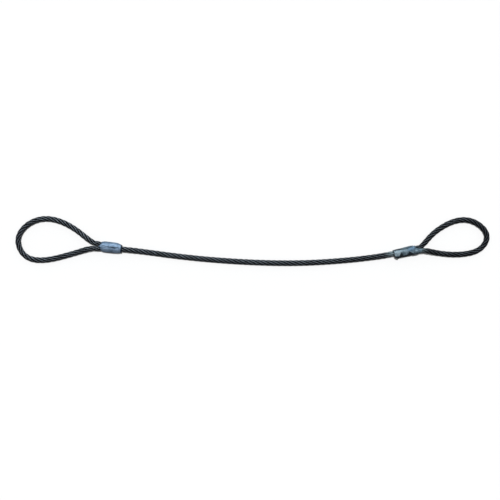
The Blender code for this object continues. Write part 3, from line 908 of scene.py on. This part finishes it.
def add_pressed_ropes(side, ferrule, material):
    """The standing part and the dead end, between the strands that enter at either end."""
    pressed = (PRESSED_HALF_WIDTH, PRESSED_HALF_HEIGHT)
    leg = (PRESSED_LEG_SHARE * INSERTED_PINCH * ROPE_RADIUS,) * 2
    round_end = (PRESSED_TAIL_SHARE * ROPE_RADIUS,) * 2
    start, press = INSERT_DEPTH + PIECE_GAP, PRESS_LENGTH + INSERT_DEPTH
    tail, cut = ferrule.length - INSERT_DEPTH - PIECE_GAP, ferrule.length - DEAD_END_SETBACK
    legs = sorted(leg_centres(side), key=lambda leg: math.cos(leg[1]))
    roll = legs[1][1]
    for part, (distance, direction) in zip(("standing_part", "dead_end"), legs):
        v, z = math.cos(direction), math.sin(direction)
        inserted = INSERTED_SHARE * distance
        ends = [(start, inserted * v, inserted * z, *leg)]
        ends.append((press, PRESSED_OFFSET * v, PRESSED_OFFSET * z, *pressed))
        ends.append((cut, PRESSED_OFFSET * v, PRESSED_OFFSET * z, *pressed))
        if part == "standing_part":
            ends.append((tail, ferrule.tail_v, 0.0, *round_end))
        u = np.linspace(ends[0][0], ends[-1][0], PRESSED_RINGS)
        knots = [end[0] for end in ends]
        columns = [np.interp(u, knots, [end[k] for end in ends]) for k in (1, 2, 3, 4)]
        add_pressed_rope(side, ferrule, part, list(zip(u, *columns)), roll, material)


def tape_reach(ferrule, u, theta):
    """Distance from the axis to what the tape lies on: the ferrule, or the legs before it."""
    legs = legs_reach("right", theta, 1.0, PINCH * ROPE_RADIUS + BORE_GAP)
    shell = shell_reach(ferrule, "right", RIGHT_TAPER, u, theta)
    past_step = u - mouth_lip("right", theta) + TAPE_STEP_SETBACK
    on_shell = smoothstep(past_step / TAPE_STEP_LENGTH)
    return legs + (np.maximum(shell, legs) - legs) * on_shell


def add_tape(ferrule, material):
    """Torn silver tape: a thin crumpled sheet over the right ferrule, open on the dead-end side."""
    share = np.linspace(0.0, 1.0, TAPE_RINGS)[:, None]
    turn = np.linspace(0.0, 1.0, TAPE_SIDES)
    plain_u = TAPE_START + (TAPE_END - TAPE_START) * share
    edge_u = plain_u - TAPE_FLAP * (1.0 - share)**3
    torn_v = np.interp(edge_u, *TORN_EDGE.T) + TEAR_DEPTH * np.sin(edge_u / TEAR_LENGTH)
    first = np.arccos(np.clip(torn_v / (ferrule.radius + TAPE_EDGE_LIFT), -1.0, 1.0))
    first = first - TAG_DROP * np.exp(-((edge_u - TAG_U) / TAG_WIDTH)**2)
    last = TAPE_UNDER_EDGE + UNDER_EDGE_WAVE * np.sin(plain_u / UNDER_EDGE_LENGTH)
    theta = first + (last - first) * turn
    flap_v = ferrule.radius * np.cos(theta) - TAPE_FLAP_V
    flap = TAPE_FLAP * np.exp(-(flap_v / TAPE_FLAP_WIDTH)**2) * (np.sin(theta) > 0.0)
    ragged = sum(depth * np.sin(waves * theta) for depth, waves in TAPE_END_WAVES)
    far = smoothstep((-ferrule.radius * np.cos(theta) - TAPE_FAR_START) / TAPE_FAR_WIDTH)
    cut_back = (TAPE_FAR_SETBACK * far - flap) * (1.0 - share)**3
    u = plain_u + cut_back + ragged * (2.0 * share - 1.0)
    reach = tape_reach(ferrule, u, theta)
    v = reach * np.cos(theta)
    places = ferrule.place(u, v, reach * np.sin(theta))
    wander = CREASE_WANDER * lumps(places, FOLD_WANDER_SCALE, seed=29.0)
    fold = line_share(TAPE_FOLD, u, v, wander) * (np.sin(theta) > 0.0)
    from_ridge = np.hypot(lumps(places * WRINKLE_STRETCH, WRINKLE_SCALE, seed=11.0), RIDGE_BLUNTNESS)
    wrinkles = np.clip(1.0 - WRINKLE_NARROWNESS * from_ridge, 0.0, 1.0)
    facets = lumps(places, FACET_SCALE, seed=5.0)
    swell = lumps(places, SWELL_SCALE, seed=17.0)
    lift = WRINKLE_SHARE * wrinkles + FACET_SHARE * (facets + 0.5) + SWELL_SHARE * (swell + 0.5)
    lift = np.clip(lift - FOLD_SHARE * fold, 0.0, 1.0) * CRUMPLE_HEIGHT
    tag = np.exp(-((u - TAG_U) / TAG_WIDTH)**2) * np.clip(1.0 - turn / TAG_SHARE, 0.0, 1.0)
    lift = lift + TAG_FLARE * tag
    outer = reach + TAPE_GAP + TAPE_THICKNESS + lift
    inner = reach + TAPE_GAP + UNDERSIDE_SHARE * lift
    sheets = [ferrule.place(u, r * np.cos(theta), r * np.sin(theta)) for r in (outer, inner)]
    from_edge = (theta - first) * ferrule.radius
    torn_dirt = TORN_DIRT * (1.0 - smoothstep(from_edge / TORN_DIRT_WIDTH))
    tail_darkening = TAPE_TAIL_DIRT * smoothstep((u - TAPE_END + TAPE_TAIL_DIRT_WIDTH) / MM)
    far_dirt = smoothstep((u - FAR_DIRT_U) / FAR_DIRT_LENGTH) * smoothstep((FAR_DIRT_V - v) / MM)
    # Painted shade: the tape gets darker on its lower side, towards the dead end, where light from
    # above falls away.
    lower_side_shade = LOWER_SIDE_SHADE * smoothstep((v - LOWER_SIDE_SHADE_START) / LOWER_SIDE_SHADE_WIDTH) * (u > TAPE_START)
    # This mask mixes dirty marks with painted shade on the lower side.
    grime_and_shade = np.clip(torn_dirt + tail_darkening + fold + far_dirt + lower_side_shade, 0.0, 1.0)
    blue = np.exp(-((u - BLUE_U) / BLUE_LENGTH)**2 - ((v - BLUE_V) / BLUE_WIDTH)**2)
    # Painted highlight: the raised crowns of the crumples are coloured paler.
    highlit_crowns = smoothstep(PALE_WRINKLES * wrinkles + facets + PALE_RISE)
    pale = smoothstep((u - PALE_START) / PALE_LENGTH) + highlit_crowns
    shade = smoothstep((SHADE_START - u) / SHADE_LENGTH)
    pale = np.clip(PALE_SHARE * pale - SHADE_SHARE * shade, 0.0, 1.0)
    count = TAPE_RINGS * TAPE_SIDES
    faces = []
    for r in range(TAPE_RINGS - 1):
        for k in range(TAPE_SIDES - 1):
            a, b = r * TAPE_SIDES + k, (r + 1) * TAPE_SIDES + k
            faces.append((a, a + 1, b + 1, b))
            faces.append((count + a, count + b, count + b + 1, count + a + 1))
    border = list(range(TAPE_SIDES))
    border += [r * TAPE_SIDES + TAPE_SIDES - 1 for r in range(1, TAPE_RINGS)]
    border += [(TAPE_RINGS - 1) * TAPE_SIDES + k for k in reversed(range(TAPE_SIDES - 1))]
    border += [r * TAPE_SIDES for r in reversed(range(1, TAPE_RINGS - 1))]
    for here, after in zip(border, border[1:] + border[:1]):
        faces.append((here, count + here, count + after, after))
    attributes = {"grime_and_shade": np.stack([grime_and_shade] * 2), "blue": np.stack([blue] * 2)}
    attributes["pale"] = np.stack([pale] * 2)
    vertices = np.concatenate([sheet.reshape(-1, 3) for sheet in sheets])
    piece = add_piece("right_silver_tape", vertices, faces, material, attributes)
    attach(piece, "right_splice")
    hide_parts("right_tape_wrap")


def add_floor():
    """A wide pale floor under the sling."""
    mesh = bpy.data.meshes.new("floor")
    half = FLOOR_SIZE / 2.0
    corners = [(-half, -half, 0.0), (half, -half, 0.0), (half, half, 0.0), (-half, half, 0.0)]
    mesh.from_pydata(corners, [], [(0, 1, 2, 3)])
    mesh.materials.append(floor_finish())
    floor = bpy.data.objects.new("floor", mesh)
    floor.location = (0.0, 0.0, -FLOOR_DROP)
    bpy.context.scene.collection.objects.link(floor)
    return floor


def add_light(name, place, size, power, colour):
    """A soft rectangular lamp that faces the origin."""
    lamp = bpy.data.lights.new(name, "AREA")
    lamp.shape = "RECTANGLE"
    lamp.size, lamp.size_y = size
    lamp.energy = power
    lamp.color = colour
    light = bpy.data.objects.new(name, lamp)
    light.location = place
    light.rotation_euler = (-Vector(place)).to_track_quat("-Z", "Y").to_euler()
    bpy.context.scene.collection.objects.link(light)
    light.visible_camera = False
    return light


def add_sun(name, place, strength):
    """A distant lamp that shines from a place towards the origin."""
    lamp = bpy.data.lights.new(name, "SUN")
    lamp.energy = strength
    lamp.angle = SUN_SOFTNESS
    light = bpy.data.objects.new(name, lamp)
    light.rotation_euler = (-Vector(place)).to_track_quat("-Z", "Y").to_euler()
    bpy.context.scene.collection.objects.link(light)
    return light


def light_only(light, pieces):
    """Let a light reach only some of the scene's objects."""
    lit = bpy.data.collections.new(f"lit_by_{light.name}")
    for piece in pieces:
        lit.objects.link(piece)
    light.light_linking.receiver_collection = lit


def add_world():
    """Soft surroundings, brighter on the far side, that look white when seen directly."""
    world = bpy.data.worlds.new("studio")
    world.use_nodes = True
    bpy.context.scene.world = world
    tree = world.node_tree
    back = tree.nodes["Background"]
    place = tree.nodes.new("ShaderNodeTexCoord")
    split = tree.nodes.new("ShaderNodeSeparateXYZ")
    ramp = tree.nodes.new("ShaderNodeMapRange")
    tree.links.new(place.outputs["Generated"], split.inputs[0])
    tree.links.new(split.outputs["Y"], ramp.inputs["Value"])
    ramp.inputs["From Min"].default_value = -1.0
    ramp.inputs["From Max"].default_value = 1.0
    ramp.inputs["To Min"].default_value = WORLD_NEAR
    ramp.inputs["To Max"].default_value = WORLD_FAR
    path = tree.nodes.new("ShaderNodeLightPath")
    seen = tree.nodes.new("ShaderNodeMath")
    seen.operation = "MAXIMUM"
    tree.links.new(ramp.outputs["Result"], seen.inputs[0])
    tree.links.new(path.outputs["Is Camera Ray"], seen.inputs[1])
    tree.links.new(seen.outputs["Value"], back.inputs["Strength"])
    back.inputs["Color"].default_value = (*WORLD_COLOUR, 1.0)


def add_camera():
    """A long lens straight above the sling, with +Y up in the picture."""
    camera = bpy.data.cameras.new("camera")
    camera.lens = CAMERA_LENS
    low, high = cad_box
    centre = (low + high) / 2.0
    width = (high.x - low.x) * PICTURE_MARGIN
    distance = width / camera.sensor_width * camera.lens
    view = bpy.data.objects.new("camera", camera)
    view.location = (centre.x + AIM_OFFSET[0], centre.y + AIM_OFFSET[1], ROPE_RADIUS + distance)
    bpy.context.scene.collection.objects.link(view)
    bpy.context.scene.camera = view


rope_steel = rope_finish()
core_steel = core_finish()
left_aluminium = aluminium_finish("pressed_aluminium", CLEAN_METAL, CLEAN_METAL_SHADE, dirt_share=0.25)
# The right ferrule's metal is dark for being dirty and as painted shade of its lower side.
right_aluminium = aluminium_finish("grimy_aluminium_in_shade", GRIMY_METAL_IN_SHADE, GRIMY_METAL_SHADE, dirt_share=0.6)
silver = tape_finish()

add_eye("left", LEFT, LEFT_EYE_RANGE, rope_steel, core_steel)
add_eye("right", RIGHT, RIGHT_EYE_RANGE, rope_steel, core_steel)
edges = [LEFT_TAIL_START]
edges += [LEFT_TAIL_S + (n + 0.5) * PITCH for n in range(SEGMENT_COUNT)]
edges += [RIGHT_TAIL_END]
for number, (start, end) in enumerate(zip(edges, edges[1:])):
    add_rope_span(number, start, end, rope_steel, core_steel)
for side, ferrule in (("left", LEFT), ("right", RIGHT)):
    add_pressed_ropes(side, ferrule, core_steel)
add_ferrule("left", LEFT, LEFT_TAPER, creased=True, material=left_aluminium)
add_ferrule("right", RIGHT, RIGHT_TAPER, creased=False, material=right_aluminium)
add_tape(RIGHT, silver)

pieces = [piece for piece in bpy.context.scene.objects if piece.type == "MESH"]
floor = add_floor()
add_world()
key = add_light("key", place=(0.0, 2.4, 1.75), size=(3.5, 1.2), power=66.0, colour=(0.86, 0.96, 1.0))
light_only(key, pieces)
overhead = add_sun("overhead", place=(0.0, 0.55, 2.8), strength=4.35)
light_only(overhead, [floor])
fill = add_light("fill", place=(0.0, -1.2, 2.3), size=(3.0, 1.5), power=14.0, colour=(0.92, 0.97, 1.0))
light_only(fill, [piece for piece in pieces if "ferrule" in piece.name or "tape" in piece.name])
add_camera()
bpy.context.scene.view_settings.view_transform = "Standard"
